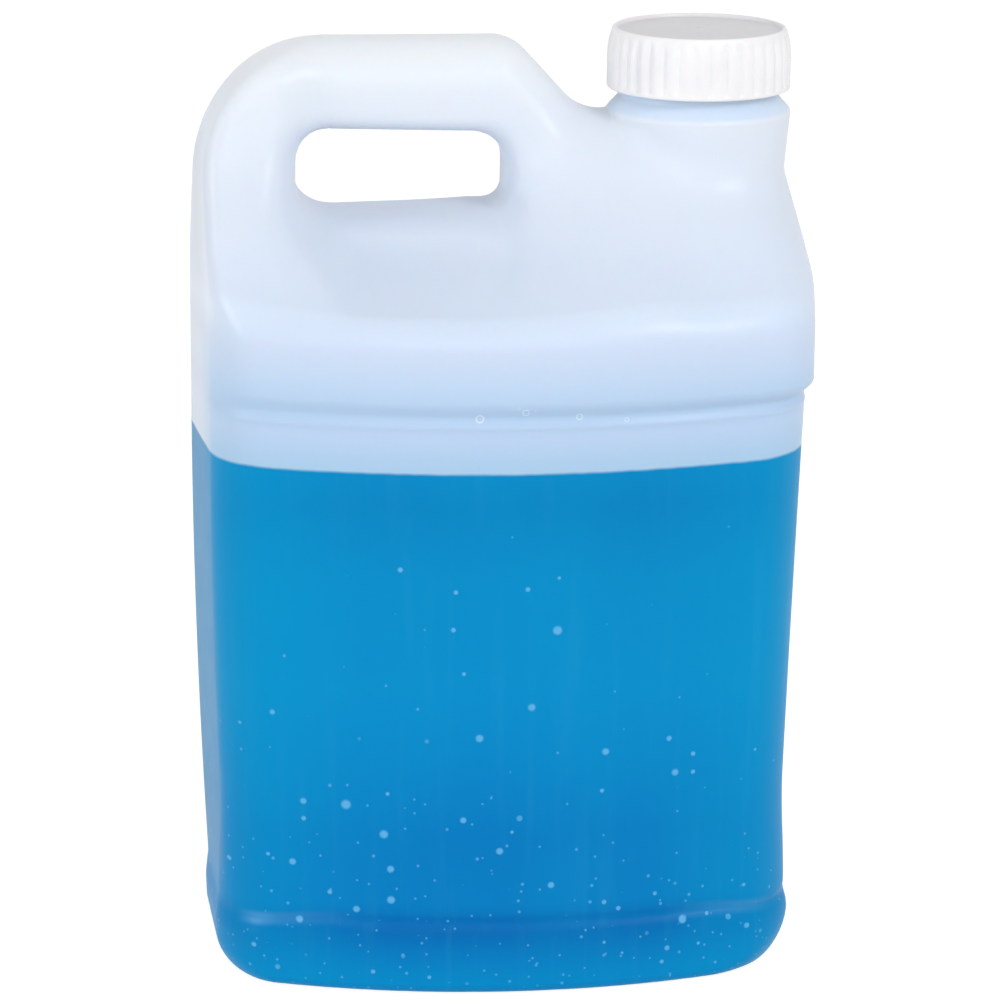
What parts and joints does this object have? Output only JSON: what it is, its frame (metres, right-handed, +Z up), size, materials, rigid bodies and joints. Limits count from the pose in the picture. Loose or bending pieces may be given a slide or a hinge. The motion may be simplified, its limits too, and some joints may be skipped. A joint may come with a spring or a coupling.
{
  "type": "f-style jug",
  "caption": "Upright moulded jug with an integral finger-slot handle, an offset threaded neck with a ribbed screw cap, and liquid inside.",
  "frame": {"origin": "bottom centre of the jug, on the surface it stands on", "axes": "+Z up, -Y the front, -X the handle side, +X the neck side"},
  "size_m": [0.228, 0.178, 0.3383],
  "materials": {
    "jug_plastic": "natural milky polyethylene, satin, translucent",
    "cap_plastic": "white polypropylene, satin gloss",
    "liner_foam": "closed-cell foam",
    "blue_liquid": "clear blue water-like liquid"
  },
  "bodies": {
    "jug": {"jug_body": "jug_plastic", "liquid": "blue_liquid"},
    "liner": {"cap_liner": "liner_foam"},
    "cap": {"screw_cap": "cap_plastic"}
  },
  "joints": [
    {"name": "cap_lift", "type": "slide", "parent": "jug", "child": "liner", "axis": [0, 0, 1], "range_m": [0, 0.0254]},
    {"name": "cap_turn", "type": "hinge", "parent": "liner", "child": "cap", "pos_m": [0.0711, 0, 0.33], "axis": [0, 0, 1], "range_deg": [0, 2160]}
  ],
  "couplings": [
    {"joint": "cap_lift", "follows": "cap_turn", "m_per_rad": 0.00067376}
  ]
}
